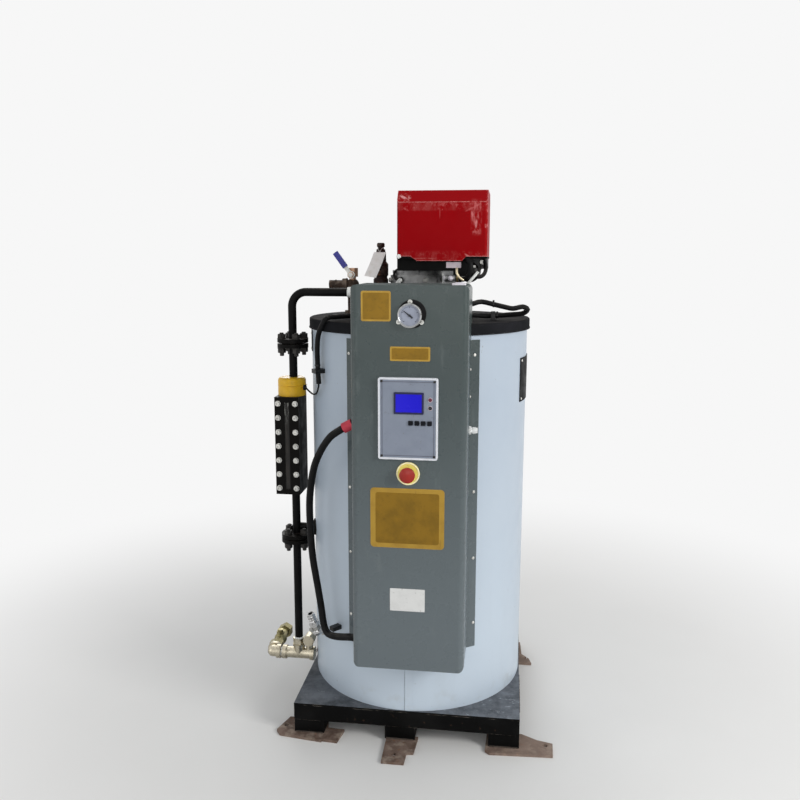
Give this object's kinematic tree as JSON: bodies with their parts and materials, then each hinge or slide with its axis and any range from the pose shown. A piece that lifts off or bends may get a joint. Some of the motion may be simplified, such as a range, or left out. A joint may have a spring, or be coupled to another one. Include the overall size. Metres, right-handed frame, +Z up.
{
  "type": "industrial boiler",
  "caption": "Vertical gas-fired steam boiler on a square base, with a grey control cabinet, level gauge column, red burner hood and pipe fittings.",
  "frame": {"origin": "centre of the bounding box's bottom, on the floor", "axes": "+Z up, the control cabinet's front faces -Y, the level column is on the -X side"},
  "size_m": [0.879, 0.859, 1.536],
  "materials": {
    "base_plate": "satin",
    "side_rails": "satin",
    "cross_rails": "satin",
    "legs": "satin",
    "front_feet": "rusty",
    "rear_feet": "rusty",
    "jacket": "satin",
    "top_cap": "satin",
    "side_plates": "satin",
    "cabinet_cover": "textured",
    "controller_bezel": "satin",
    "controller_panel": "satin",
    "controller_screen": "gloss",
    "controller_keys": "satin",
    "gauge_case": "brushed",
    "gauge_dial": "satin",
    "estop_collar": "satin",
    "estop_button": "gloss",
    "brass_plates": "satin",
    "white_label": "satin",
    "cable_gland": "satin",
    "hose_ferrule": "satin",
    "control_hose": "matte",
    "cable_clips": "matte",
    "left_conduit": "satin",
    "right_conduit": "satin",
    "level_pipes": "satin",
    "column_flanges": "satin",
    "sensor_cap": "gloss",
    "level_gauge_block": "satin",
    "gauge_glass": "gloss",
    "drain_tee": "galvanised",
    "drain_cock": "dull",
    "feed_inlet": "worn",
    "burner_flange": "cast",
    "burner_casing": "satin",
    "burner_hood": "gloss",
    "burner_motor": "satin",
    "gas_valve": "cast",
    "flue_spigot": "satin",
    "steam_outlet": "rusty",
    "vent_valve": "dull",
    "valve_lever": "satin",
    "lever_grip": "satin",
    "safety_valve": "satin"
  },
  "bodies": {
    "boiler": {"base_plate": "base_plate", "side_rails": "side_rails", "cross_rails": "cross_rails", "legs": "legs", "front_feet": "front_feet", "rear_feet": "rear_feet", "jacket": "jacket", "top_cap": "top_cap", "side_plates": "side_plates", "cabinet_cover": "cabinet_cover", "controller_bezel": "controller_bezel", "controller_panel": "controller_panel", "controller_screen": "controller_screen", "controller_keys": "controller_keys", "gauge_case": "gauge_case", "gauge_dial": "gauge_dial", "estop_collar": "estop_collar", "brass_plates": "brass_plates", "white_label": "white_label", "cable_gland": "cable_gland", "hose_ferrule": "hose_ferrule", "control_hose": "control_hose", "cable_clips": "cable_clips", "left_conduit": "left_conduit", "right_conduit": "right_conduit", "level_pipes": "level_pipes", "column_flanges": "column_flanges", "sensor_cap": "sensor_cap", "level_gauge_block": "level_gauge_block", "gauge_glass": "gauge_glass", "drain_tee": "drain_tee", "drain_cock": "drain_cock", "feed_inlet": "feed_inlet", "burner_flange": "burner_flange", "burner_casing": "burner_casing", "burner_hood": "burner_hood", "burner_motor": "burner_motor", "gas_valve": "gas_valve", "flue_spigot": "flue_spigot", "steam_outlet": "steam_outlet", "vent_valve": "vent_valve", "safety_valve": "safety_valve"},
    "estop_button": {"estop_button": "estop_button"},
    "valve_lever": {"valve_lever": "valve_lever", "lever_grip": "lever_grip"}
  },
  "joints": [
    {"name": "estop_press", "type": "slide", "parent": "boiler", "child": "estop_button", "axis": [0, 1, 0], "range_m": [0, 0.004]},
    {"name": "valve_lever_turn", "type": "hinge", "parent": "boiler", "child": "valve_lever", "pos_m": [-0.175, -0.0185, 1.304], "axis": [0, 1, 0], "range_deg": [-54, 36]}
  ]
}
